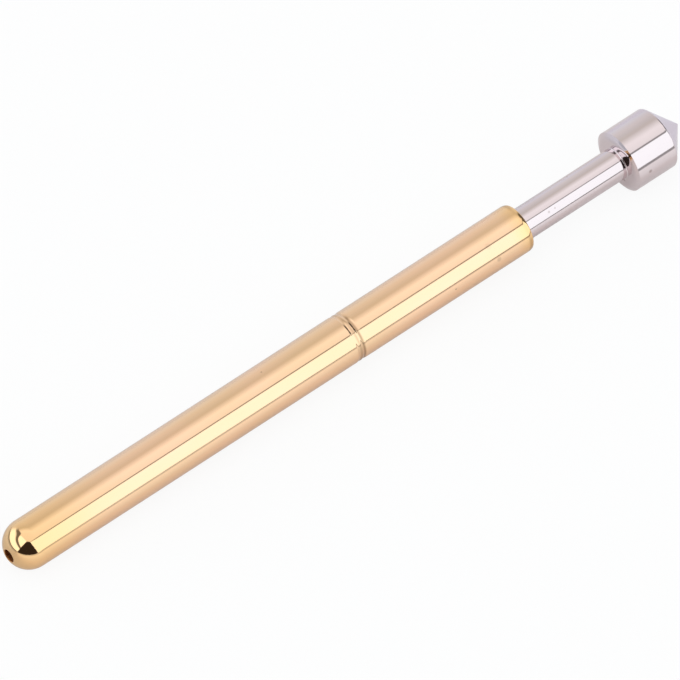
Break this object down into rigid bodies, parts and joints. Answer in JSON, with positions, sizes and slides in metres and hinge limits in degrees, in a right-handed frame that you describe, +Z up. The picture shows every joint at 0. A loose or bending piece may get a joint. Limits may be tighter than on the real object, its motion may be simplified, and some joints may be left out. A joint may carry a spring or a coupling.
{
  "type": "pogo pin",
  "caption": "Spring-loaded contact pin: a slim gold-plated barrel with a domed tail and a sliding nickel-plated plunger with a conical head.",
  "frame": {"origin": "on the pin's axis, in the plane of the barrel's mouth", "axes": "+X along the axis towards the plunger's tip, +Z up; the pin is round, so Y and Z are alike"},
  "size_m": [0.0165, 0.0012, 0.0014],
  "materials": {
    "gold_plate": "polished gold plate over drawn brass",
    "nickel_plate": "polished nickel plate over turned steel",
    "spring_steel": "bright drawn spring wire"
  },
  "bodies": {
    "barrel": {"barrel": "gold_plate", "spring": "spring_steel"},
    "plunger": {"plunger": "nickel_plate"}
  },
  "joints": [
    {"name": "plunger_travel", "type": "slide", "parent": "barrel", "child": "plunger", "axis": [-1, 0, 0], "range_m": [0, 0.0024], "stiffness_N_per_m": 394, "deforming": ["spring"]}
  ]
}
